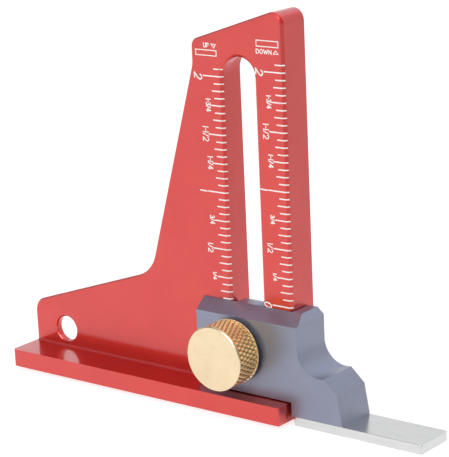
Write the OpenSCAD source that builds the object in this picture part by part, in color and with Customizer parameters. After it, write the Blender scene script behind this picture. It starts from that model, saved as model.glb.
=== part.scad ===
// Woodworking height gauge: a red anodised body with a slotted upright, a blue-grey slider that a
// knurled brass knob clamps at any height, and a steel strip that reaches out to the blade or work.
// Origin: centre of the foot's underside. X runs along the foot towards the strip, Y goes away from
// the knob and Z is up. Lengths are in millimetres and angles in degrees.

/* [Body] */
// Length of the foot
foot_l = 77.7; // [75:0.1:90]
// Width of the foot, from its front to the web's back
foot_w = 10; // [9.6:0.1:11]
// Thickness of the foot
foot_t = 4.1; // [3.6:0.1:4.4]
// Radius of the foot's upright corners
foot_r = 0.6; // [0.3:0.1:1.2]
// Thickness of the upright, front to back
bar_t = 8; // [7.4:0.1:9]
// Height of the upright's tip, before its corner is rounded
bar_h = 88.1; // [87:0.1:100]
// Step from the foot's right end back to the upright's side
bar_inset = 1.65; // [1.4:0.05:1.8]
// Width of the upright's leg beside the web
web_leg_w = 8.2; // [7.6:0.1:9]
// Width of the upright's leg beside the slider's lip
lip_leg_w = 7.95; // [7.5:0.05:9]
// Slope of the web's top edge and of the upright's top
rake = 18.4; // [16:0.1:20]
// Lean of the web's steep edge from the vertical
lean = 16.8; // [15:0.1:18]
// Height of the web's left end, before its corner is rounded
web_h = 13.9; // [13.5:0.1:17]
// Height at which the web's steep edge runs into the upright
neck_h = 74.6; // [68:0.1:75]
// Thickness of the web
web_t = 1.5; // [1.2:0.1:3]
// Radius of the web's left corner
web_corner_r = 3.5; // [2:0.1:4]
// Radius of the hollow between the web's top edge and its steep edge
web_hollow_r = 8; // [5:0.1:14]
// Radius where the steep edge runs into the upright
neck_r = 6; // [3:0.1:9]
// Radius of the upright's left top corner
top_left_r = 2; // [1.5:0.1:3]
// Radius of the upright's right top corner
top_right_r = 2.6; // [1.5:0.1:4]
// Radius of the fillet between the foot and the upright
foot_fillet_r = 0.45; // [0.3:0.05:0.7]
// Width of the bevel along the front of the upright's right side
side_bevel = 0.6; // [0.3:0.05:0.9]
// Width of the bevel along the body's other edges
edge_bevel = 0.3; // [0.1:0.05:0.6]

/* [Slot and hole] */
// Width of the slot between its front lips
slot_w = 8.4; // [8.2:0.1:9]
// Thickness of the slot's front lips
slot_lip_t = 3; // [2.9:0.1:3.4]
// Width of the wider channel behind the lips
channel_w = 10.6; // [10:0.1:11]
// Distance from the upright's tip down to the slot's top end
slot_head = 11.05; // [10.5:0.05:12]
// Metal left between the foot and the slot's bottom end
slot_sill = 1.8; // [1.6:0.1:2.2]
// Width of the bevel round the slot
slot_bevel = 0.65; // [0.1:0.05:0.8]
// Diameter of the hanging hole
hole_d = 6; // [4:0.1:6.4]
// Distance of the hanging hole from the foot's left end
hole_x = 9.65; // [7:0.05:20]
// Height of the hanging hole
hole_z = 8.3; // [8.1:0.05:8.6]
// Width of the bevel round the hanging hole
hole_bevel = 0.3; // [0.1:0.05:0.4]

/* [Slider] */
// Height of the slider's top edge at its lowest setting
slider_top = 23.05; // [22:0.05:23.3]
// Thickness of the slider's front wall
wall_t = 4.5; // [4:0.1:5.5]
// Step from the upright's side to the slider's left end, at the back of the wall
wall_inset = 0.6; // [0.2:0.05:1]
// Step from the upright's side to the slider's left end, at the front of the wall
wall_front_inset = 1.85; // [0.5:0.05:2]
// Drop of the bevel on the slider's front wall
top_drop = 1.8; // [1.2:0.1:2.4]
// Drop of the bevel on the slider's lip
side_drop = 1.35; // [1:0.05:2]
// Thickness of the lip beside the upright
lip_t = 3.95; // [3.5:0.05:4.4]
// Width of the flat that the lip's bevel leaves on the lip
lip_land = 2.35; // [1.8:0.05:2.6]
// Depth of the slider's lip and nose, front to back
nose_w = 10.3; // [9.8:0.1:11]
// Depth of the tongue in the slot
tongue_d = 3; // [2.4:0.1:3]
// Radius of the tongue's corners
tongue_r = 1.8; // [1.5:0.1:2.4]
// Radius of the hollow over the nose
hollow_r = 5.5; // [5.2:0.1:5.8]
// Height of the hollow's centre
hollow_z = 16.4; // [16.2:0.1:17]
// Reach of the nose's crest beyond the lip
crest_out = 6.75; // [6.4:0.05:7]
// Reach of the nose's knee beyond the lip
knee_out = 10.1; // [9.6:0.05:10.5]
// Height of the nose's knee
knee_z = 7.95; // [7.4:0.05:8.6]
// Reach of the nose's foot beyond the lip
toe_out = 11.25; // [10.9:0.05:12]
// Play between the slider and the upright's face
face_gap = 0.1; // [0.05:0.01:0.15]
// Play at the sides of the upright and of the slot
side_gap = 0.2; // [0.16:0.01:0.24]
// Gap over the foot at the lowest setting
rest_gap = 0.25; // [0.2:0.01:0.4]
// Gap between the foot's end and the nose
end_gap = 0.65; // [0.5:0.05:0.8]

/* [Contact strip] */
// Length of the strip
strip_l = 32.3; // [30:0.1:45]
// Width of the strip
strip_w = 10; // [9:0.1:10.2]
// Thickness of the strip
strip_t = 2.1; // [1.8:0.1:2.4]
// Radius of the strip's corners
strip_r = 0.5; // [0.3:0.1:1]
// Step from the nose's left side to the strip's left end
strip_inset = 0.3; // [0.1:0.05:0.5]
// Depth of the strip's underside below the foot at the lowest setting
strip_drop = 0.84; // [0.7:0.01:1]
// Thread diameter of the strip's screws
screw_d = 2.5; // [2.2:0.1:2.8]
// Length of the strip's screws
screw_l = 6.6; // [5:0.1:7.5]
// Head diameter of the strip's screws
screw_head_d = 4.6; // [4.2:0.1:4.8]
// Depth of the screw heads in the strip
screw_sink = 0.1; // [0.05:0.01:0.15]
// Width across the corners of the screws' sockets
socket_d = 1.7; // [1.3:0.1:1.9]
// Depth of the screws' sockets
socket_h = 0.9; // [0.6:0.1:1.1]
// Distance of the first screw from the nose's left side
screw_first = 3.4; // [3.2:0.1:3.8]
// Distance of the last screw from the nose's outer end
screw_last = 3.7; // [3.4:0.1:4]

/* [Knob and clamp] */
// Diameter of the knob over its knurl
knob_d = 14.4; // [13:0.1:14.8]
// Length of the knob
knob_l = 6.9; // [6.4:0.1:8]
// Height of the knob's axis at the lowest setting
knob_z = 13.9; // [13.8:0.05:14.2]
// Width of the bevels at the knob's ends
knob_bevel = 0.45; // [0.3:0.05:0.7]
// Width of the plain rings beside the knurl
knob_ring = 0.15; // [0.1:0.05:0.4]
// Knurl diamonds round the knob
knurl_n = 32; // [24:1:40]
// Knurl diamonds along the knob
knurl_rows = 3; // [2:1:4]
// Depth of the knurl
knurl_depth = 0.42; // [0.2:0.02:0.5]
// Depth of the stud's hole in the knob
knob_hole_h = 4.5; // [4:0.1:5.2]
// Diameter of the clamp stud
stud_d = 5; // [4.5:0.1:5.2]
// Length of the stud that stands out behind the clamp plate
stud_proud = 0.6; // [0.4:0.1:0.8]
// Width of the bevels at the stud's ends
stud_bevel = 0.4; // [0.2:0.05:0.6]
// Diameter of the washer
washer_d = 10; // [9:0.1:11]
// Thickness of the washer
washer_t = 1; // [0.8:0.1:1.2]
// Clearance of the washer's hole round the stud
washer_gap = 0.2; // [0.1:0.01:0.3]
// Height of the clamp plate
plate_h = 11; // [9:0.1:11.2]
// Thickness of the clamp plate
plate_t = 3.4; // [2.4:0.1:3.4]
// Radius of the clamp plate's corners
plate_r = 1.5; // [1.3:0.1:2.5]
// Running clearance of the stud and of the clamp plate
run_gap = 0.05; // [0.03:0.01:0.08]

/* [Hidden] */
$fn = 64;
arc_steps = 12;

// Overrun of the cuts, and overlap of what is joined
over = foot_t / 4;

// The foot and the upright
foot_left = -foot_l / 2;
foot_right = foot_l / 2;
foot_back = foot_w / 2;
face_y = foot_back - web_t;
bar_back = face_y + bar_t;
bar_right = foot_right - bar_inset;
slot_right = bar_right - lip_leg_w;
slot_left = slot_right - slot_w;
slot_x = slot_right - slot_w / 2;
bar_left = slot_left - web_leg_w;
bar_root = foot_t / 2;
slot_end_r = slot_w / 2;
slot_low = foot_t + slot_sill + slot_end_r;
slot_high = bar_h - slot_head - slot_end_r;
channel_front = face_y + slot_lip_t;

// Where the web's sloping top would meet its steep edge
shoulder_x = (neck_h - web_h + foot_left * tan(rake) - bar_left / tan(lean))
    / (tan(rake) - 1 / tan(lean));
shoulder_h = web_h + (shoulder_x - foot_left) * tan(rake);
bar_left_h = bar_h - (bar_right - bar_left) * tan(rake);

// Corners and radii of the whole face, and of the upright alone, clockwise from the right foot,
// with the bevel of the edge that follows each corner
face_corners = [[bar_right, bar_root], [foot_left, bar_root], [foot_left, web_h],
    [shoulder_x, shoulder_h], [bar_left, neck_h], [bar_left, bar_left_h], [bar_right, bar_h]];
face_radii = [0, 0, web_corner_r, web_hollow_r, neck_r, top_left_r, top_right_r];
face_bevels = [edge_bevel, edge_bevel, edge_bevel, edge_bevel, edge_bevel, edge_bevel, side_bevel];
bar_corners = [[bar_right, 0], [bar_left, 0], [bar_left, bar_left_h], [bar_right, bar_h]];
bar_radii = [0, 0, top_left_r, top_right_r];
bar_bevels = [for (edge = bar_corners) edge_bevel];

// The slider at its lowest setting
wall_back = face_y - face_gap;
wall_front = wall_back - wall_t;
nose_back = wall_front + nose_w;
wall_bottom = foot_t + rest_gap;
wall_left = bar_left + wall_inset;
wall_front_left = bar_left + wall_front_inset;
lip_in = bar_right + side_gap;
lip_out = lip_in + lip_t;
nose_left = foot_right + end_gap;
nose_bottom = strip_t - strip_drop;
hollow_x = lip_out + hollow_r;
crest_x = lip_out + crest_out;
crest_z = hollow_z - sqrt(pow(hollow_r, 2) - pow(crest_x - hollow_x, 2));
tongue_w = slot_w - 2 * side_gap;
tongue_back = wall_back + tongue_d;

// How far the tongue's rounded corners reach into the slot's round end
tongue_reach = tongue_r
    + sqrt(pow(slot_end_r - side_gap / 2 - tongue_r, 2) - pow(tongue_w / 2 - tongue_r, 2));
tongue_bottom = slot_low - tongue_reach + rest_gap;

// The strip and its screws
strip_left = nose_left + strip_inset;
strip_y = wall_front + nose_w / 2;
screw_inner_x = nose_left + screw_first;
screw_outer_x = lip_out + toe_out - screw_last;
screw_z = screw_sink - strip_drop;
screw_gap = run_gap / 2;
screw_head_h = (screw_head_d - screw_d) / 2;

// The knob, its stud and the clamp
knob_r = knob_d / 2;
knob_back = wall_front - washer_t - run_gap;
knurl_l = knob_l - 2 * (knob_bevel + knob_ring);
knurl_top_r = knob_r - knurl_depth / 8;
knurl_low_r = knurl_top_r - knurl_depth;
plate_w = channel_w - 2 * side_gap;
plate_front = channel_front + run_gap;
plate_back = plate_front + plate_t;
stud_front = knob_back - knob_hole_h;
stud_l = plate_back + stud_proud - stud_front;

red = [0.8, 0.12, 0.1];
blue_grey = [0.46, 0.5, 0.6];
bright_steel = [0.8, 0.8, 0.8];
brass = [0.87, 0.7, 0.4];
dark_steel = [0.3, 0.3, 0.32];

function unit(v) = v / norm(v);
function toward(p, q) = unit(q - p);
function turn(a, b) = b - a - 360 * round((b - a) / 360);
function bearing(c, p) = atan2(p.y - c.y, p.x - c.x);

// The points of one corner of a clockwise outline, rounded to r. Each is [x, z, bevel] on the
// outline, or with inwards = 1 the point where its bevel meets the face
function corner(p, before, after, r, bevels, inwards) =
    let (u = toward(p, before), v = toward(p, after), half = acos(u * v) / 2,
        side = cross(u, v) > 0 ? 1 : -1,
        c = r == 0 ? p : p + unit(u + v) * r / sin(half),
        from = bearing(c, p + u * r / tan(half)),
        to = bearing(c, p + v * r / tan(half)),
        square_in = (u * bevels[1] + v * bevels[0]) / sin(2 * half))
    [for (k = [0:r == 0 ? 0 : arc_steps])
        let (w = bevels[0] + (bevels[1] - bevels[0]) * k / arc_steps,
            a = from + turn(from, to) * k / arc_steps,
            at = r == 0 ? p + inwards * square_in : c + (r - side * inwards * w) * [cos(a), sin(a)])
        [at.x, at.y, r == 0 ? max(bevels) : w]];

// A clockwise outline with every corner rounded to its own radius
function rounded(points, radii, bevels, inwards) =
    let (n = len(points))
    [for (i = [0:n - 1])
        let (before = (i + n - 1) % n)
        each corner(points[i], points[before], points[(i + 1) % n], radii[i],
            [bevels[before], bevels[i]], inwards)];

module rounded_box(l, h, r) {
    square([l - 2 * r, h], center = true);
    square([l, h - 2 * r], center = true);
    for (side = [-1, 1]) for (end = [-1, 1])
        translate([side * (l / 2 - r), end * (h / 2 - r)]) circle(r);
}

// An outline of x and z drawn back from y = 0, with a bevel of its own on each edge of its front;
// all of the outline has to be in sight of its first point
module bevelled_slab(points, radii, bevels, depth) {
    front = rounded(points, radii, bevels, 1);
    full = rounded(points, radii, bevels, 0);
    n = len(full);
    at = concat([for (p = front) [p.x, 0, p.y]], [for (p = full) [p.x, p.z, p.y]],
        [for (p = full) [p.x, depth, p.y]]);
    sides = [for (ring = [0:1]) for (i = [0:n - 1])
        let (j = (i + 1) % n, a = ring * n + i, b = ring * n + j)
        each [[a, a + n, b + n], [a, b + n, b]]];
    ends = [[for (i = [0:n - 1]) i], [for (i = [0:n - 1]) 2 * n + (n - i) % n]];
    polyhedron(at, concat(ends, sides));
}

// Draws a flat shape of x and z from y = from back to y = to
module drawn(from, to) {
    translate([0, to, 0]) rotate([90, 0, 0]) linear_extrude(to - from) children();
}

// A round bar or hole along y
module round_y(x, z, from, to, r) {
    translate([x, from, z]) rotate([-90, 0, 0]) cylinder(h = to - from, r = r);
}

// The flare that bevels a round hole's rim at y = from; it starts in front of the rim
module rim_y(x, z, from, r, bevel) {
    translate([x, from - over, z]) rotate([-90, 0, 0])
        cylinder(h = over + bevel, r1 = r + bevel + over, r2 = r);
}

// The slot's outline, or the channel's, with ends of radius r
module slot_shape(r) {
    translate([slot_x, slot_low]) circle(r);
    translate([slot_x, slot_high]) circle(r);
    translate([slot_x - r, slot_low]) square([2 * r, slot_high - slot_low]);
}

// The flare that bevels the rim of the slot or the channel at y = from
module slot_rim(from, r, bevel) {
    wide = r + bevel + over;
    rim_y(slot_x, slot_low, from, r, bevel);
    rim_y(slot_x, slot_high, from, r, bevel);
    translate([slot_x, from, slot_low]) linear_extrude(slot_high - slot_low)
        polygon([[-wide, -over], [wide, -over], [r, bevel], [-r, bevel]]);
}

// The web and the upright's face are one slab; the rest of the upright stands behind it and the foot
module upright() {
    translate([0, face_y, 0]) bevelled_slab(face_corners, face_radii, face_bevels, web_t);
    translate([0, bar_back, 0]) mirror([0, 1, 0])
        bevelled_slab(bar_corners, bar_radii, bar_bevels, bar_t - web_t / 2);
}

module foot_fillet() {
    translate([foot_left + edge_bevel, 0, 0]) rotate([90, 0, 90])
        linear_extrude(bar_right - side_bevel - foot_left - edge_bevel) difference() {
            translate([face_y - foot_fillet_r, bar_root])
                square([foot_fillet_r + web_t / 2, foot_t - bar_root + foot_fillet_r]);
            translate([face_y - foot_fillet_r, foot_t + foot_fillet_r]) circle(foot_fillet_r);
        }
}

module gauge_body() {
    color(red) difference() {
        union() {
            linear_extrude(foot_t) rounded_box(foot_l, foot_w, foot_r);
            upright();
            foot_fillet();
        }
        drawn(face_y - over, channel_front + over) slot_shape(slot_end_r);
        drawn(channel_front, bar_back + over) slot_shape(channel_w / 2);
        slot_rim(face_y, slot_end_r, slot_bevel);
        mirror([0, 1, 0]) slot_rim(-bar_back, channel_w / 2, edge_bevel);
        round_y(foot_left + hole_x, hole_z, face_y - over, foot_back + over, hole_d / 2);
        rim_y(foot_left + hole_x, hole_z, face_y, hole_d / 2, hole_bevel);
    }
}

// The slider's side view, from its left end to the tip of the nose
module slider_profile() {
    difference() {
        polygon([[wall_left, wall_bottom], [wall_left, slider_top], [lip_out, slider_top],
            [lip_out, hollow_z], [crest_x, crest_z], [lip_out + knee_out, knee_z],
            [lip_out + toe_out, nose_bottom], [nose_left, nose_bottom], [nose_left, wall_bottom]]);
        translate([hollow_x, hollow_z]) circle(hollow_r);
    }
}

module lip_profile() {
    intersection() {
        slider_profile();
        translate([lip_in, nose_bottom]) square([lip_t + toe_out, slider_top - nose_bottom]);
    }
}

module tongue() {
    tongue_h = slider_top - tongue_bottom;
    drawn(wall_back - wall_t / 2, tongue_back) translate([slot_x, slider_top - tongue_h / 2])
        rounded_box(tongue_w, tongue_h, tongue_r);
}

// The bevel that falls from the wall's top edge to its face
module front_bevel_cut() {
    fall = top_drop / wall_t;
    translate([wall_left - over, 0, 0]) rotate([90, 0, 90])
        linear_extrude(lip_out - wall_left + 2 * over)
            polygon([[wall_back, slider_top], [wall_back, slider_top + over],
                [wall_front - over, slider_top + over],
                [wall_front - over, slider_top - top_drop - over * fall]]);
}

// The bevel that falls from the lip's flat to its outer side
module side_bevel_cut() {
    fall = side_drop / (lip_t - lip_land);
    drawn(wall_front - over, nose_back + over)
        polygon([[lip_in + lip_land, slider_top], [lip_in + lip_land, slider_top + over],
            [lip_out + over, slider_top + over],
            [lip_out + over, slider_top - side_drop - over * fall]]);
}

// The slanting cut at the slider's left end
module left_end_cut() {
    slant = (wall_front_left - wall_left) / wall_t;
    translate([0, 0, wall_bottom - over]) linear_extrude(slider_top - wall_bottom + 2 * over)
        polygon([[wall_left - over, wall_back + over], [wall_left, wall_back],
            [wall_front_left + over * slant, wall_front - over],
            [wall_left - over, wall_front - over]]);
}

// The bevel that keeps the wall's lower edge clear of the fillet on the foot
module relief_cut() {
    low = wall_bottom;
    translate([wall_left - over, 0, 0]) rotate([90, 0, 90]) linear_extrude(lip_in - wall_left + over)
        polygon([[wall_back + over, low - over], [wall_back + over, low + foot_fillet_r + over],
            [wall_back - foot_fillet_r - over, low - over]]);
}

module screw_hole(x) {
    translate([x, strip_y, nose_bottom - over])
        cylinder(h = screw_z + screw_l + screw_gap - nose_bottom + over, d = screw_d + 2 * screw_gap);
}

module slider_block() {
    color(blue_grey) difference() {
        union() {
            drawn(wall_front, wall_back) slider_profile();
            drawn(wall_back - over, nose_back) lip_profile();
            tongue();
        }
        front_bevel_cut();
        side_bevel_cut();
        left_end_cut();
        relief_cut();
        round_y(slot_x, knob_z, wall_front - over, tongue_back + over, stud_d / 2 + run_gap);
        screw_hole(screw_inner_x);
        screw_hole(screw_outer_x);
    }
}

// The flared hole that a screw's head sinks into
module strip_hole(x) {
    flare = screw_sink + screw_head_h;
    translate([x, strip_y, -strip_drop - over])
        cylinder(h = strip_t + 2 * over, d = screw_d + 2 * screw_gap);
    translate([x, strip_y, -strip_drop])
        cylinder(h = flare, r1 = screw_d / 2 + screw_gap + flare, r2 = screw_d / 2 + screw_gap);
}

module contact_strip() {
    color(bright_steel) difference() {
        translate([strip_left + strip_l / 2, strip_y, -strip_drop]) linear_extrude(strip_t)
            rounded_box(strip_l, strip_w, strip_r);
        strip_hole(screw_inner_x);
        strip_hole(screw_outer_x);
    }
}

module strip_screw(x) {
    color(dark_steel) translate([x, strip_y, screw_z]) difference() {
        rotate_extrude() polygon([[0, 0], [screw_head_d / 2, 0], [screw_d / 2, screw_head_h],
            [screw_d / 2, screw_l], [0, screw_l]]);
        translate([0, 0, -over]) cylinder(h = socket_h + over, d = socket_d, $fn = 6);
    }
}

module strip_screw_inner() {
    strip_screw(screw_inner_x);
}

module strip_screw_outer() {
    strip_screw(screw_outer_x);
}

module knob_washer() {
    color(bright_steel) difference() {
        round_y(slot_x, knob_z, wall_front - washer_t, wall_front, washer_d / 2);
        round_y(slot_x, knob_z, wall_front - washer_t - over, wall_front + over,
            stud_d / 2 + washer_gap);
    }
}

// The knurl: rings of points whose peaks and hollows alternate, so that the hollows join up into
// two crossing sets of grooves and every peak is the top of a four-sided diamond
module knurl_band() {
    around = 2 * knurl_n;
    rings = 2 * knurl_rows;
    last = (rings + 1) * around;
    at = concat([for (k = [0:rings]) for (i = [0:around - 1])
        let (r = (i + k) % 2 == 0 ? knurl_low_r : knurl_top_r, a = 180 * i / knurl_n)
        [r * cos(a), r * sin(a), knurl_l * k / rings]], [[0, 0, 0], [0, 0, knurl_l]]);
    sides = [for (k = [0:rings - 1]) for (i = [0:around - 1])
        let (j = (i + 1) % around, p = k * around + i, q = k * around + j)
        each (i + k) % 2 == 0 ? [[p, p + around, q + around], [p, q + around, q]]
            : [[p, p + around, q], [q, p + around, q + around]]];
    ends = [for (i = [0:around - 1])
        let (j = (i + 1) % around, top = last - around)
        each [[i, j, last], [top + j, top + i, last + 1]]];
    polyhedron(at, concat(sides, ends));
}

module knob_core() {
    low = knob_bevel + knob_ring;
    rotate_extrude() polygon([[0, 0], [knob_r - knob_bevel, 0], [knob_r, knob_bevel], [knob_r, low],
        [knurl_low_r - knurl_depth, low], [knurl_low_r - knurl_depth, knob_l - low],
        [knob_r, knob_l - low], [knob_r, knob_l - knob_bevel], [knob_r - knob_bevel, knob_l],
        [0, knob_l]]);
}

module thumb_knob() {
    color(brass) translate([slot_x, knob_back, knob_z]) rotate([90, 0, 0]) difference() {
        union() {
            knob_core();
            translate([0, 0, knob_bevel + knob_ring]) knurl_band();
        }
        translate([0, 0, -over]) cylinder(h = knob_hole_h + over, d = stud_d);
    }
}

module clamp_stud() {
    color(bright_steel) translate([slot_x, stud_front, knob_z]) rotate([-90, 0, 0])
        rotate_extrude() polygon([[0, 0], [stud_d / 2 - stud_bevel, 0], [stud_d / 2, stud_bevel],
            [stud_d / 2, stud_l - stud_bevel], [stud_d / 2 - stud_bevel, stud_l], [0, stud_l]]);
}

module clamp_plate() {
    color(dark_steel) difference() {
        drawn(plate_front, plate_back) translate([slot_x, knob_z])
            rounded_box(plate_w, plate_h, plate_r);
        round_y(slot_x, knob_z, plate_front - over, plate_back + over, stud_d / 2 + run_gap);
    }
}

gauge_body();
slider_block();
contact_strip();
strip_screw_inner();
strip_screw_outer();
knob_washer();
thumb_knob();
clamp_stud();
clamp_plate();
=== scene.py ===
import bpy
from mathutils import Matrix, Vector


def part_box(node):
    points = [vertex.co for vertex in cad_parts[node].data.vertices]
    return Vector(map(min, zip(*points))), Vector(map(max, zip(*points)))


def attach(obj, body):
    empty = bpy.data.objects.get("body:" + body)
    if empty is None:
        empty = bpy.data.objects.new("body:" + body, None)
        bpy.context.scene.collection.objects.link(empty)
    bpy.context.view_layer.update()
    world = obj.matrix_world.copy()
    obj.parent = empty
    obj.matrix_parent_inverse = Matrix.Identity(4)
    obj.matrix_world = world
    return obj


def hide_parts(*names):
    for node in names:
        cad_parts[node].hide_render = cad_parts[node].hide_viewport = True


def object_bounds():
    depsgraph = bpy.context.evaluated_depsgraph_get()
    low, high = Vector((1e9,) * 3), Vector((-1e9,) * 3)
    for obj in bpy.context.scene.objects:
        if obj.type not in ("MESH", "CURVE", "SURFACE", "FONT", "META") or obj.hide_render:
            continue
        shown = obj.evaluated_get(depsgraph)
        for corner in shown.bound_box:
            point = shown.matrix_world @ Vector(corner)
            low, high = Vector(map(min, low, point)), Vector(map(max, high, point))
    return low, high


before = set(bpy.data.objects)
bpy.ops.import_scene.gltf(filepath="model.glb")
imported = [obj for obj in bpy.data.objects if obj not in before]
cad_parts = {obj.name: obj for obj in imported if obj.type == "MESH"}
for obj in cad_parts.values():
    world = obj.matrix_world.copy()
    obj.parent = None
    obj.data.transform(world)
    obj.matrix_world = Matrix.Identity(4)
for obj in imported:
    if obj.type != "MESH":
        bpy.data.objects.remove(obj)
cad_box = [list(corner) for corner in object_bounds()]

import itertools
import math

import bmesh
import bpy
from mathutils import Matrix, Vector


# ---- Red body ------------------------------------------------------------------------------------
# The L-shaped body with its foot, web and slotted upright: one piece of aluminium, milled all over,
# blasted to an even satin and anodised red. Its sharp edges are only just broken.

mm = 0.001


def new_finish(name):
    finish = bpy.data.materials.new(name)
    finish.use_nodes = True
    return finish, finish.node_tree, finish.node_tree.nodes["Principled BSDF"]


def set_values(node, **values):
    """Sets a node's inputs by name, with _ for the spaces."""
    for name, value in values.items():
        node.inputs[name.replace("_", " ")].default_value = value


def wire(tree, source, output, target, input_name):
    tree.links.new(source.outputs[output], target.inputs[input_name])


def add_noise(tree, size, detail=3.0, stretch=(1, 1, 1)):
    """A noise with blotches about size metres across, fixed to the piece."""
    place = tree.nodes.new("ShaderNodeTexCoord")
    mapping = tree.nodes.new("ShaderNodeMapping")
    noise = tree.nodes.new("ShaderNodeTexNoise")
    set_values(mapping, Scale=stretch)
    set_values(noise, Scale=1 / size, Detail=detail)
    wire(tree, place, "Object", mapping, "Vector")
    wire(tree, mapping, "Vector", noise, "Vector")
    return noise


def add_ramp(tree, stops):
    """A colour ramp with a tone at each place of its stops."""
    tones = tree.nodes.new("ShaderNodeValToRGB")
    ends = tones.color_ramp.elements
    while len(ends) < len(stops):
        ends.new(0.5)
    for end, (place, tone) in zip(ends, stops):
        end.position = place
        end.color = (*tone, 1)
    return tones


noise_low, noise_high = 0.3, 0.7    # most of a noise lies between these


def tint(tree, shader, noise, dark, light):
    """Lets the noise move the base colour between two tones."""
    tones = add_ramp(tree, [(noise_low, dark), (noise_high, light)])
    wire(tree, noise, "Fac", tones, "Fac")
    wire(tree, tones, "Color", shader, "Base Color")


def gloss(tree, shader, noise, low, high):
    """Lets the noise move the roughness between two values."""
    spread = tree.nodes.new("ShaderNodeMapRange")
    set_values(spread, From_Min=noise_low, From_Max=noise_high, To_Min=low, To_Max=high)
    wire(tree, noise, "Fac", spread, "Value")
    wire(tree, spread, "Result", shader, "Roughness")


def bump(tree, shader, noise, depth):
    """Lets the noise raise the surface by up to depth metres."""
    relief = tree.nodes.new("ShaderNodeBump")
    set_values(relief, Distance=depth)
    wire(tree, noise, "Fac", relief, "Height")
    wire(tree, relief, "Normal", shader, "Normal")


dye_patch = 9 * mm
blast_patch = 3 * mm
blast_spread = 0.03
blast_grain = 0.12 * mm
blast_depth = 0.0012 * mm


def anodised(name, dark, light, metal, rough, film_index, film_rough):
    """Blasted and anodised aluminium: dyed metal under a clear hard film."""
    finish, tree, shader = new_finish(name)
    set_values(shader, Metallic=metal, Coat_Weight=1, Coat_IOR=film_index,
               Coat_Roughness=film_rough)
    tint(tree, shader, add_noise(tree, dye_patch), dark, light)
    gloss(tree, shader, add_noise(tree, blast_patch), rough - blast_spread, rough + blast_spread)
    bump(tree, shader, add_noise(tree, blast_grain, 2.0), blast_depth)
    return finish


def geometry_group(name, steps):
    """A group of geometry nodes that passes the mesh through each step in turn."""
    group = bpy.data.node_groups.new(name, "GeometryNodeTree")
    for way in ("INPUT", "OUTPUT"):
        group.interface.new_socket("Geometry", in_out=way, socket_type="NodeSocketGeometry")
    last = group.nodes.new("NodeGroupInput")
    for step in steps:
        node = step(group)
        group.links.new(last.outputs[0], node.inputs["Geometry"])
        last = node
    group.links.new(last.outputs[0], group.nodes.new("NodeGroupOutput").inputs[0])
    return group


seam = 0.001 * mm
soft_turn = math.radians(32)


def drop_normals(group):
    node = group.nodes.new("GeometryNodeRemoveAttribute")
    node.inputs["Name"].default_value = "custom_normal"
    return node


def weld(group):
    node = group.nodes.new("GeometryNodeMergeByDistance")
    node.inputs["Distance"].default_value = seam
    return node


def smooth_faces(group):
    node = group.nodes.new("GeometryNodeSetShadeSmooth")
    node.domain = "FACE"
    return node


def sharp_corners(group):
    """Smooth only across edges that turn by less than soft_turn."""
    node = group.nodes.new("GeometryNodeSetShadeSmooth")
    node.domain = "EDGE"
    angle = group.nodes.new("GeometryNodeInputMeshEdgeAngle")
    gentle = group.nodes.new("FunctionNodeCompare")
    gentle.data_type = "FLOAT"
    gentle.operation = "LESS_THAN"
    gentle.inputs[1].default_value = soft_turn
    group.links.new(angle.outputs["Unsigned Angle"], gentle.inputs[0])
    group.links.new(gentle.outputs[0], node.inputs["Shade Smooth"])
    return node


whole_mesh = geometry_group("whole_mesh", [drop_normals, weld])
smooth_mesh = geometry_group("smooth_mesh", [smooth_faces, sharp_corners])


level_turn = math.radians(0.5)
sharp_turn = math.radians(28)


def break_edges(piece, width):
    """Joins a solid's faces into one skin and rounds its sharp edges by width."""
    piece.modifiers.new("whole", "NODES").node_group = whole_mesh
    flat = piece.modifiers.new("flat", "DECIMATE")
    flat.decimate_type = "DISSOLVE"
    flat.angle_limit = level_turn
    edges = piece.modifiers.new("edges", "BEVEL")
    edges.width = width
    edges.segments = 2
    edges.limit_method = "ANGLE"
    edges.angle_limit = sharp_turn
    piece.modifiers.new("smooth", "NODES").node_group = smooth_mesh
    piece.modifiers.new("even", "WEIGHTED_NORMAL").keep_sharp = True


def give(piece, finish):
    for slot in piece.material_slots:
        slot.material = finish


body_edge = 0.15 * mm
red_film = anodised("red_anodised", (0.64, 0.022, 0.014), (0.68, 0.030, 0.020), 0.88, 0.40,
                    1.63, 0.13)
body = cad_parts["gauge_body"]
give(body, red_film)
break_edges(body, body_edge)


# ---- Scales and signs ----------------------------------------------------------------------------
# Two scales of 2 1/16 inches in sixteenths beside the slot, their numbers and the two signs over
# them: engraved with a fine round cutter and filled with white enamel.

face_y = 3.5 * mm
enamel_lift = 0.015 * mm
enamel_sink = 0.03 * mm
pitch = 25.4 * mm / 16
marks_count = 33
line_width = 0.285 * mm
line_lengths = ((16, 5.2), (8, 4.35), (4, 3.65), (2, 2.9), (1, 2.35))    # sixteenths, mm
large_stroke, small_stroke = 0.31 * mm, 0.235 * mm
large_lean = 0.22
sign_stroke = 0.21 * mm
layer_step = 0.0005 * mm
edge_margin = 0.02 * mm

enamel, tree, shader = new_finish("white_enamel")
tint(tree, shader, add_noise(tree, 0.8 * mm), (0.84, 0.79, 0.74), (0.90, 0.86, 0.82))
gloss(tree, shader, add_noise(tree, 0.5 * mm), 0.35, 0.5)
bump(tree, shader, add_noise(tree, 0.15 * mm), 0.004 * mm)


def bar_face(fold_at):
    """Where a point of a mark lies: u along x, and down the bevel once it is past the fold."""
    slope = math.sqrt(0.5)
    on_fold = 0.001 * mm

    def place(u, z, lift):
        fold = fold_at(z)
        past = u - fold
        if past > on_fold:
            return (fold + (past + lift) * slope, face_y + (past - lift) * slope, z)
        bend = lift * math.tan(math.pi / 8) if past > -on_fold else 0
        return (u + bend, face_y - lift, z)

    return place


layers = itertools.cycle(range(12))    # strokes that cross lie at different heights
cap_turns = [math.radians(turn) for turn in (12, 35, 62)]


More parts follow.
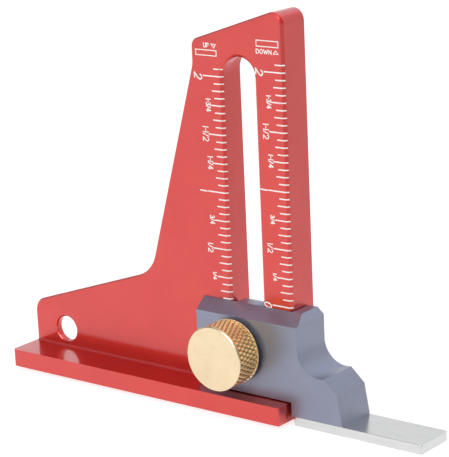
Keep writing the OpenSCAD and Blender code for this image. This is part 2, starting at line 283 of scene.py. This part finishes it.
def add_stroke(work, points, width, place, closed=False):
    """One engraved line with round ends, as a thin closed band that stands a hair proud."""
    lift = enamel_lift + next(layers) * layer_step
    count = len(points)
    points = [Vector(p) for p in points]
    sections = []
    for i, p in enumerate(points):
        before = points[i - 1] if i or closed else p
        after = points[(i + 1) % count] if i < count - 1 or closed else p
        came, goes = p - before, after - p
        came = came.normalized() if came.length else goes.normalized()
        goes = goes.normalized() if goes.length else came
        way = (came + goes).normalized()
        sections.append((p, way, width / 2 / max(way.dot(came), 0.5)))
    if not closed:
        for end, sign in ((0, -1), (-1, 1)):
            p, way, half = sections[end]
            cap = [(p + sign * way * half * math.cos(a), way, half * math.sin(a))
                   for a in cap_turns]
            sections = cap + sections if end == 0 else sections + cap[::-1]
    rows = []
    for p, way, half in sections:
        side = Vector((-way.y, way.x)) * half
        corners = [(p + side, lift), (p - side, lift), (p - side, -enamel_sink),
                   (p + side, -enamel_sink)]
        rows.append([work.verts.new(place(q.x, q.y, lift)) for q, lift in corners])
    last = len(rows) if closed else len(rows) - 1
    for i in range(last):
        near, far = rows[i], rows[(i + 1) % len(rows)]
        for k in range(4):
            work.faces.new((near[k], near[(k + 1) % 4], far[(k + 1) % 4], far[k]))
    if not closed:
        work.faces.new(rows[0][::-1])
        work.faces.new(rows[-1])


def add_piece(name, work, finishes, rides_on):
    """Makes an object of the mesh in hand, with its finishes, and lets it ride on a body."""
    bmesh.ops.recalc_face_normals(work, faces=work.faces)
    mesh = bpy.data.meshes.new(name)
    work.to_mesh(mesh)
    work.free()
    for layer in finishes:
        mesh.materials.append(layer)
    piece = bpy.data.objects.new(name, mesh)
    bpy.context.scene.collection.objects.link(piece)
    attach(piece, rides_on)
    return piece


def arc(cx, cy, rx, ry, start, end, steps=9):
    turns = [math.radians(start + (end - start) * k / steps) for k in range(steps + 1)]
    return [(cx + rx * math.cos(t), cy + ry * math.sin(t)) for t in turns]


ring = arc(0.31, 0.5, 0.31, 0.5, 0, 342, 19)
letters = {
    "0": (0.62, [ring]), "O": (0.62, [ring]),
    "1": (0.12, [[(0.06, 0), (0.06, 1)]]),
    "2": (0.62, [arc(0.31, 0.69, 0.3, 0.31, 160, -32) + [(0.0, 0.0)], [(0, 0), (0.62, 0)]]),
    "3": (0.58, [arc(0.27, 0.75, 0.25, 0.25, 150, -90), arc(0.27, 0.26, 0.3, 0.26, 90, -150)]),
    "4": (0.66, [[(0.48, 0), (0.48, 1)], [(0.48, 1), (0, 0.3)], [(0, 0.3), (0.66, 0.3)]]),
    "/": (0.4, [[(0, 0), (0.4, 1)]]),
    "-": (0.3, [[(0, 0.5), (0.3, 0.5)]]),
    "U": (0.56, [[(0, 1)] + arc(0.28, 0.28, 0.28, 0.28, 180, 360) + [(0.56, 1)]]),
    "P": (0.52, [[(0, 0), (0, 1)], [(0, 1)] + arc(0.26, 0.74, 0.26, 0.26, 90, -90) + [(0, 0.48)]]),
    "D": (0.56, [[(0, 0), (0, 1)], [(0, 1)] + arc(0.2, 0.5, 0.36, 0.5, 90, -90) + [(0, 0)]]),
    "W": (0.84, [[(0, 1), (0.21, 0)], [(0.21, 0), (0.42, 0.8)], [(0.42, 0.8), (0.63, 0)],
                 [(0.63, 0), (0.84, 1)]]),
    "N": (0.54, [[(0, 0), (0, 1)], [(0, 1), (0.54, 0)], [(0.54, 0), (0.54, 1)]]),
}
letter_gap = 0.22


def lettering(text, length, height, lean=0.0):
    """The strokes of a word, fitted to length by height; a list of (points, closed)."""
    strokes, x = [], 0.0
    for mark in text:
        wide, lines = letters[mark]
        for line in lines:
            strokes.append(([(x + px + lean * py, py) for px, py in line], line is ring))
        x += wide + letter_gap
    full = x - letter_gap
    return [([(px * length / full, py * height) for px, py in line], closed)
            for line, closed in strokes]


round_end_share = 1.1


def add_scale(name, edge, bevel, zero, labels, round_end=None):
    """One scale: lines that end at the edge, and numbers that read downwards beside them."""

    def fold_at(z):
        """The line where the flat face ends, which turns with the slot's round end."""
        if round_end and z > round_end[1]:
            reach = round_end[0] - edge + bevel
            return round_end[0] - math.sqrt(reach ** 2 - (z - round_end[1]) ** 2)
        return edge - bevel

    place = bar_face(fold_at)
    work = bmesh.new()
    for k in range(marks_count + 1):
        length = next(size for step, size in line_lengths if k % step == 0) * mm
        z = zero + k * pitch
        fold = fold_at(z)
        start = edge - length + line_width / 2
        end = fold + bevel * math.sqrt(2) - edge_margin - line_width / 2
        on_bevel = []
        if fold > edge - bevel:    # beside the slot's round end, where the bevel curves away
            end = fold + bevel * round_end_share - line_width / 2
            on_bevel = [(fold + (end - fold) * share, z) for share in (0.25, 0.5, 0.75)]
        add_stroke(work, [(start, z), (fold, z), *on_bevel, (end, z)], line_width, place)
    for text, k, low, high, length in labels:
        large = len(text) == 1
        width = large_stroke if large else small_stroke
        lean = large_lean if large else 0.0
        z = zero + k * pitch
        height, run = (high - low) * mm - width, length * mm - width
        for line, closed in lettering(text, run, height, lean):
            turned = [(low * mm + width / 2 + py, z + run / 2 - px) for px, py in line]
            add_stroke(work, turned, width, place, closed)
    return add_piece(name, work, [enamel], "gauge")


slot_left = 20.85 * mm
bar_right = 37.2 * mm
slot_end = (25.05 * mm, 72.85 * mm)
slot_bevel, bar_bevel = 0.65 * mm, 0.6 * mm
slot_zero, bar_zero = 21.64 * mm, 23.74 * mm
# Each label: the text, the sixteenth it stands at, its lowest and highest x, and its run, in mm.
add_scale("scale_beside_slot", slot_left, slot_bevel, slot_zero, [
    ("2", 32, 13.2, 15.5, 1.45), ("1-3/4", 28, 16.1, 17.5, 2.95), ("1-1/2", 24, 14.9, 16.6, 3.4),
    ("1-1/4", 20, 15.9, 17.4, 3.0), ("1", 16, 13.4, 15.5, 0.35), ("3/4", 12, 15.8, 17.2, 2.1),
    ("1/2", 8, 14.9, 16.4, 2.2), ("1/4", 4, 15.9, 17.0, 1.8)], slot_end)
add_scale("scale_beside_lip", bar_right, bar_bevel, bar_zero, [
    ("2", 32, 29.75, 31.85, 1.45), ("1-3/4", 28, 32.4, 33.7, 2.95), ("1-1/2", 24, 31.2, 32.8, 3.4),
    ("1-1/4", 20, 32.3, 33.7, 3.0), ("1", 16, 29.9, 31.9, 0.35), ("3/4", 12, 32.3, 33.5, 2.1),
    ("1/2", 8, 31.25, 32.7, 2.2), ("1/4", 4, 32.4, 33.5, 1.8), ("0", 0, 29.75, 31.85, 1.35)])


def add_sign(name, word, word_box, frame_box, arrow):
    """A word, an arrow head and a narrow frame, for which scale to read."""
    width = sign_stroke
    no_fold = 1.0    # far off to the right, so a sign stays on the flat face
    flat = bar_face(lambda z: no_fold)
    work = bmesh.new()
    left, right, low, high = (v * mm for v in word_box)
    for line, closed in lettering(word, right - left - width, high - low - width):
        moved = [(left + width / 2 + px, low + width / 2 + py) for px, py in line]
        add_stroke(work, moved, width, flat, closed)
    left, right, low, high = (v * mm for v in frame_box)
    corners = [(left, low), (right, low), (right, high), (left, high)]
    add_stroke(work, corners, width, flat, closed=True)
    add_stroke(work, [(x * mm, z * mm) for x, z in arrow], width, flat, closed=True)
    return add_piece(name, work, [enamel], "gauge")


# Each sign: the word, the box it fills, its frame, and its arrow head, in mm.
add_sign("sign_up", "UP", (16.1, 17.65, 78.5, 79.6), (14.0, 19.55, 76.85, 78.0),
         [(18.25, 79.4), (19.45, 79.3), (18.95, 78.6)])
add_sign("sign_down", "DOWN", (30.15, 34.25, 78.2, 79.25), (30.3, 35.95, 79.8, 81.05),
         [(34.7, 78.4), (35.95, 78.42), (35.29, 79.1)])


# ---- Slider --------------------------------------------------------------------------------------
# The slider that runs up the slot and carries the strip: one milled piece of aluminium, blasted and
# anodised blue-grey. Its front wall, lip and nose are cut with a flat cutter and a round one.

slider_edge = 0.12 * mm
grey_film = anodised("grey_anodised", (0.225, 0.243, 0.325), (0.25, 0.27, 0.355), 0.85, 0.45,
                     1.5, 0.35)
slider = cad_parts["slider_block"]
give(slider, grey_film)
break_edges(slider, slider_edge)


# ---- Contact strip -------------------------------------------------------------------------------
# The flat strip under the nose that touches the blade or the work: bright steel, ground lengthwise,
# with its edges eased by hand.

strip_edge = 0.15 * mm
along_strip = (0.03, 1, 1)    # draws the grinding marks out along the strip
ground_steel, tree, shader = new_finish("ground_steel")
set_values(shader, Metallic=1)
grinding = add_noise(tree, 0.25 * mm, 4.0, along_strip)
tint(tree, shader, grinding, (0.64, 0.64, 0.63), (0.70, 0.70, 0.69))
gloss(tree, shader, add_noise(tree, 0.6 * mm, 4.0, (0.05, 1, 1)), 0.16, 0.26)
bump(tree, shader, grinding, 0.002 * mm)
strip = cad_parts["contact_strip"]
give(strip, ground_steel)
break_edges(strip, strip_edge)


# ---- Strip screws and clamp plate ----------------------------------------------------------------
# Two countersunk socket screws come up through the strip into the nose, and a plate in the wide
# part of the slot draws the slider against the upright. All are steel with a black oxide skin.

plate_edge = 0.15 * mm
black_oxide, tree, shader = new_finish("black_oxide")
set_values(shader, Metallic=1)
tint(tree, shader, add_noise(tree, 1.5 * mm), (0.035, 0.036, 0.040), (0.065, 0.065, 0.07))
gloss(tree, shader, add_noise(tree, 0.7 * mm), 0.3, 0.45)
bump(tree, shader, add_noise(tree, 0.1 * mm), 0.002 * mm)
for name in ("strip_screw_inner", "strip_screw_outer", "clamp_plate"):
    give(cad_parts[name], black_oxide)
break_edges(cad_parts["clamp_plate"], plate_edge)


# ---- Washer and stud -----------------------------------------------------------------------------
# A plain washer between knob and slider, and the stud that is pressed into the knob and screws into
# the clamp plate: steel, zinc plated.

zinc, tree, shader = new_finish("zinc_plate")
set_values(shader, Metallic=1)
tint(tree, shader, add_noise(tree, 1.2 * mm), (0.54, 0.55, 0.57), (0.64, 0.645, 0.66))
gloss(tree, shader, add_noise(tree, 0.5 * mm), 0.22, 0.34)
bump(tree, shader, add_noise(tree, 0.2 * mm), 0.002 * mm)
for name in ("knob_washer", "clamp_stud"):
    give(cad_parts[name], zinc)


# ---- Thumb knob ----------------------------------------------------------------------------------
# The brass thumb knob: turned from bar, with a diamond knurl rolled into its rim between two plain
# rings, and faced off flat with the fine circles of the lathe tool left on it.

knob_low, knob_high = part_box("thumb_knob")
knob_front, knob_back = knob_low.y, knob_high.y
knob_x = (knob_low.x + knob_high.x) / 2
knob_z = (knob_low.z + knob_high.z) / 2
knob_r = (knob_high.z - knob_low.z) / 2
chamfer = 0.22 * mm
ring_w = 0.2 * mm
knurl_top_r = knob_r - 0.05 * mm
knurl_depth = 0.38 * mm
diamonds_round = 40
diamonds_along = 3
core_share = 1.6       # how far under the knurl's top the plain core lies, in knurl depths
circle_gap = 2.2 * mm
circle_depth = 0.002 * mm
knob_edge = 0.04 * mm

brass, tree, shader = new_finish("turned_brass")
set_values(shader, Metallic=1, Anisotropic=0.4)
tint(tree, shader, add_noise(tree, 4 * mm), (0.78, 0.63, 0.405), (0.83, 0.68, 0.445))
gloss(tree, shader, add_noise(tree, 1.2 * mm), 0.2, 0.28)
tangent = tree.nodes.new("ShaderNodeTangent")
tangent.direction_type = "RADIAL"
tangent.axis = "Y"
wire(tree, tangent, "Tangent", shader, "Tangent")
place = tree.nodes.new("ShaderNodeTexCoord")
centred = tree.nodes.new("ShaderNodeMapping")
centred.inputs["Location"].default_value = (-knob_x, 0, -knob_z)
wire(tree, place, "Object", centred, "Vector")
circles = tree.nodes.new("ShaderNodeTexWave")
circles.wave_type = "RINGS"
circles.rings_direction = "Y"
set_values(circles, Scale=1 / circle_gap, Distortion=0.0)
wire(tree, centred, "Vector", circles, "Vector")
relief = tree.nodes.new("ShaderNodeBump")
set_values(relief, Distance=circle_depth, Strength=0.6)
wire(tree, circles, "Fac", relief, "Height")
wire(tree, relief, "Normal", shader, "Normal")

knurled, tree, shader = new_finish("knurled_brass")
set_values(shader, Metallic=1)
place = tree.nodes.new("ShaderNodeTexCoord")
from_axis = tree.nodes.new("ShaderNodeMapping")
set_values(from_axis, Location=(-knob_x, 0, -knob_z), Scale=(1, 0, 1))
radius = tree.nodes.new("ShaderNodeVectorMath")
radius.operation = "LENGTH"
# The knurl's base colour runs from dark at the groove bottoms to light on the tops: painted shade
# in the grooves.
groove_shade = tree.nodes.new("ShaderNodeMapRange")
set_values(groove_shade, From_Min=knurl_top_r - knurl_depth, From_Max=knurl_top_r)
tones = add_ramp(tree, [(0.0, (0.46, 0.28, 0.11)), (0.45, (0.80, 0.54, 0.23)),
                        (1.0, (0.94, 0.70, 0.36))])    # painted shade: darker towards the groove bottoms, lighter on the tops
wire(tree, place, "Object", from_axis, "Vector")
wire(tree, from_axis, "Vector", radius, 0)
wire(tree, radius, "Value", groove_shade, "Value")
wire(tree, groove_shade, "Result", tones, "Fac")
wire(tree, tones, "Color", shader, "Base Color")
gloss(tree, shader, add_noise(tree, 0.6 * mm), 0.28, 0.38)


def turn_profile(work, profile, around=128):
    """A turned shape: each (radius, y) of the profile goes once round the knob's axis."""
    rows = []
    for radius, y in profile:
        if radius == 0:
            rows.append([work.verts.new((knob_x, y, knob_z))] * around)
            continue
        turns = [2 * math.pi * k / around for k in range(around)]
        rows.append([work.verts.new((knob_x + radius * math.cos(turn), y,
                                     knob_z + radius * math.sin(turn))) for turn in turns])
    for near, far in zip(rows, rows[1:]):
        for k in range(around):
            j = (k + 1) % around
            corners = [near[k], near[j], far[j], far[k]]
            corners = [v for n, v in enumerate(corners) if v not in corners[:n]]
            if len(corners) > 2:
                work.faces.new(corners).material_index = 0


def knurl(work, start, end):
    """The diamond knurl: a lattice laid along its two sets of grooves, cut off at both ends."""
    steps = (0.0, 0.36, 0.64, 1.0)
    size = len(steps) - 1
    lap = 2 * diamonds_round * size
    along = (end - start) / diamonds_along
    reach = diamonds_along + 1

    def spot(u, v, edge):
        turn = math.pi * (u + v) / diamonds_round
        radius = knurl_top_r - (knurl_depth if edge else 0)
        return (knob_x + radius * math.cos(turn), start + along * (u - v) / 2,
                knob_z + radius * math.sin(turn))

    made = {}

    def vert(iu, iv):
        """Lattice steps count in thirds of a diamond, and wrap once round the knob."""
        cells_u, cells_v = divmod(iu, size), divmod(iv, size)
        u, v = cells_u[0] + steps[cells_u[1]], cells_v[0] + steps[cells_v[1]]
        key = ((iu + iv) % lap, iu - iv)
        if key not in made:
            made[key] = work.verts.new(spot(u, v, cells_u[1] == 0 or cells_v[1] == 0))
        return made[key]

    for sum_step in range(lap):
        for gap_step in range(-size, 2 * reach * size):
            if (sum_step + gap_step) % 2:
                continue
            iu, iv = (sum_step + gap_step) // 2, (sum_step - gap_step) // 2
            corners = [vert(iu, iv), vert(iu + 1, iv), vert(iu + 1, iv + 1), vert(iu, iv + 1)]
            if len(set(corners)) == 4:
                work.faces.new(corners).material_index = 1
    for y, inwards in ((start, 1), (end, -1)):
        bmesh.ops.bisect_plane(
            work, geom=work.verts[:] + work.edges[:] + work.faces[:], dist=1e-7,
            plane_co=(0, y, 0), plane_no=(0, inwards, 0), clear_inner=True)


work = bmesh.new()
knurl(work, knob_front + chamfer + ring_w, knob_back - chamfer - ring_w)
under = knurl_top_r - core_share * knurl_depth
turn_profile(work, [
    (0, knob_front), (knob_r - chamfer, knob_front), (knob_r, knob_front + chamfer),
    (knob_r, knob_front + chamfer + ring_w), (under, knob_front + chamfer + ring_w),
    (under, knob_back - chamfer - ring_w), (knob_r, knob_back - chamfer - ring_w),
    (knob_r, knob_back - chamfer), (knob_r - chamfer, knob_back), (0, knob_back)])
knob = add_piece("thumb_knob_turned", work, [brass, knurled], "knob")
knob_edges = knob.modifiers.new("edges", "BEVEL")
knob_edges.width = knob_edge
knob_edges.segments = 2
knob_edges.limit_method = "ANGLE"
knob_edges.angle_limit = math.radians(20)
knob.modifiers.new("smooth", "NODES").node_group = smooth_mesh
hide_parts("thumb_knob")


# ---- Table, room and lamps -----------------------------------------------------------------------
# A plain white table in a white room with a darker ceiling, one large soft lamp above and one in
# front. The camera sees plain white; in metal the table and the room are dimmer to the right.

def combine(tree, operation, first, second):
    """A node that works on two sockets."""
    node = tree.nodes.new("ShaderNodeMath")
    node.operation = operation
    for source, target in zip((first, second), node.inputs):
        tree.links.new(source, target)
    return node


def fall_off(tree, vector, way, near, far, dim):
    """Falls smoothly from 1 to dim between two distances along a way."""
    along = tree.nodes.new("ShaderNodeVectorMath")
    along.operation = "DOT_PRODUCT"
    along.inputs[1].default_value = way
    tree.links.new(vector, along.inputs[0])
    fall = tree.nodes.new("ShaderNodeMapRange")
    fall.interpolation_type = "SMOOTHSTEP"
    set_values(fall, From_Min=near, From_Max=far, To_Min=1.0, To_Max=dim)
    wire(tree, along, "Value", fall, "Value")
    return fall.outputs["Result"]


front_right = (0.78, -0.62, 0.0)
front_left = (-0.62, -0.78, 0.0)
back_right = (0.604, 0.754, 0.0)


def seen_table(tree):
    """The white of the table: plain to the camera, and in metal dimmer to the right."""
    path = tree.nodes.new("ShaderNodeLightPath").outputs
    place = tree.nodes.new("ShaderNodeTexCoord").outputs["Object"]
    dim = combine(tree, "MULTIPLY", fall_off(tree, place, front_right, 0.1, 0.25, 0.42),
                  fall_off(tree, place, back_right, 0.0, 0.15, 0.66))
    metal = combine(tree, "MULTIPLY", path["Is Glossy Ray"], dim.outputs[0])
    straight = combine(tree, "MAXIMUM", path["Is Camera Ray"], path["Is Transmission Ray"])
    return combine(tree, "MAXIMUM", straight.outputs[0], metal.outputs[0])


floor_z = cad_box[0][2]
half = 3.0
table_grey = (0.4, 0.4, 0.4, 1)
table_glow = 0.74
floor_mesh = bpy.data.meshes.new("floor")
floor_mesh.from_pydata([(-half, -half, floor_z), (half, -half, floor_z), (half, half, floor_z),
                        (-half, half, floor_z)], [], [(0, 1, 2, 3)])
floor = bpy.data.objects.new("floor", floor_mesh)
bpy.context.scene.collection.objects.link(floor)
white_table, tree, shader = new_finish("white_table")
set_values(shader, Base_Color=table_grey, Roughness=1.0, Emission_Color=(1, 1, 1, 1),
           Specular_IOR_Level=0.0)
glow = tree.nodes.new("ShaderNodeMath")
glow.operation = "MULTIPLY"
glow.inputs[1].default_value = table_glow
wire(tree, seen_table(tree), 0, glow, 0)
wire(tree, glow, 0, shader, "Emission Strength")
floor.data.materials.append(white_table)

room = bpy.data.worlds.new("white_room")
bpy.context.scene.world = room
room.use_nodes = True
tree = room.node_tree
direction = tree.nodes.new("ShaderNodeTexCoord")
parts = tree.nodes.new("ShaderNodeSeparateXYZ")
wire(tree, direction, "Generated", parts, "Vector")
ceiling = add_ramp(tree, [(0.0, (0.95, 0.95, 0.95)), (0.4, (0.97, 0.97, 0.97)),
                          (0.65, (0.28, 0.36, 0.56)), (0.85, (0.34, 0.36, 0.46)),
                          (1.0, (0.5, 0.5, 0.55))])
ceiling.color_ramp.interpolation = "EASE"
wire(tree, parts, "Z", ceiling, "Fac")
window = tree.nodes.new("ShaderNodeMapRange")
window.interpolation_type = "SMOOTHSTEP"
set_values(window, From_Min=-0.15, From_Max=0.35, To_Min=0.0, To_Max=0.75)
wire(tree, parts, "X", window, "Value")
lit = tree.nodes.new("ShaderNodeMix")
lit.data_type = "RGBA"
wire(tree, window, "Result", lit, 0)
wire(tree, ceiling, "Color", lit, 6)
lit.inputs[7].default_value = (0.78, 0.78, 0.8, 1)
dimmed = tree.nodes.new("ShaderNodeVectorMath")
dimmed.operation = "SCALE"
wire(tree, lit, 2, dimmed, 0)
sides = combine(tree, "MULTIPLY",
                fall_off(tree, direction.outputs["Generated"], front_right, 0.2, 0.75, 0.3),
                fall_off(tree, direction.outputs["Generated"], front_left, 0.3, 0.9, 0.38))
wire(tree, sides, 0, dimmed, "Scale")
path = tree.nodes.new("ShaderNodeLightPath")
shown = tree.nodes.new("ShaderNodeMix")
shown.data_type = "RGBA"
wire(tree, path, "Is Camera Ray", shown, 0)
wire(tree, dimmed, 0, shown, 6)
shown.inputs[7].default_value = (1, 1, 1, 1)
wire(tree, shown, 2, tree.nodes["Background"], "Color")


def add_lamp(name, place, aim, size, power):
    lamp = bpy.data.lights.new(name, "AREA")
    lamp.shape = "RECTANGLE"
    lamp.size, lamp.size_y = size
    lamp.energy = power
    box = bpy.data.objects.new(name, lamp)
    bpy.context.scene.collection.objects.link(box)
    box.location = place
    box.rotation_mode = "QUATERNION"
    box.rotation_quaternion = (Vector(aim) - Vector(place)).to_track_quat("-Z", "Y")


lamp_aim = (0, 0, 0.04)
add_lamp("lamp_above", (0.1, 0.2, 1.3), lamp_aim, (2.4, 2.4), 10)
add_lamp("lamp_front", (0.18, -1.04, 0.6), lamp_aim, (0.8, 0.8), 12)


# ---- Camera --------------------------------------------------------------------------------------
# A long lens at the photograph's own angle and distance, tilted slightly as the photograph is.
# The focal length is in pixels of the photograph, along its longer side.

focal_px, long_side_px, sensor_mm = 1962.92, 457, 36
camera_place = (0.276509, -0.316659, 0.148557)
azimuth, elevation, roll = (math.radians(a) for a in (38.733, 14.93, -2.555))
back = Vector((math.sin(azimuth) * math.cos(elevation), -math.cos(azimuth) * math.cos(elevation),
               math.sin(elevation)))
level = (-back).cross(Vector((0, 0, 1))).normalized()
upright = level.cross(-back)
right = math.cos(roll) * level + math.sin(roll) * upright
up = math.cos(roll) * upright - math.sin(roll) * level
lens = bpy.data.cameras.new("camera")
lens.sensor_width = sensor_mm
lens.lens = focal_px * sensor_mm / long_side_px
camera = bpy.data.objects.new("camera", lens)
bpy.context.scene.collection.objects.link(camera)
stand = Matrix((right, up, back)).transposed().to_4x4()
stand.translation = camera_place
camera.matrix_world = stand
bpy.context.scene.camera = camera
bpy.context.scene.view_settings.view_transform = "Standard"
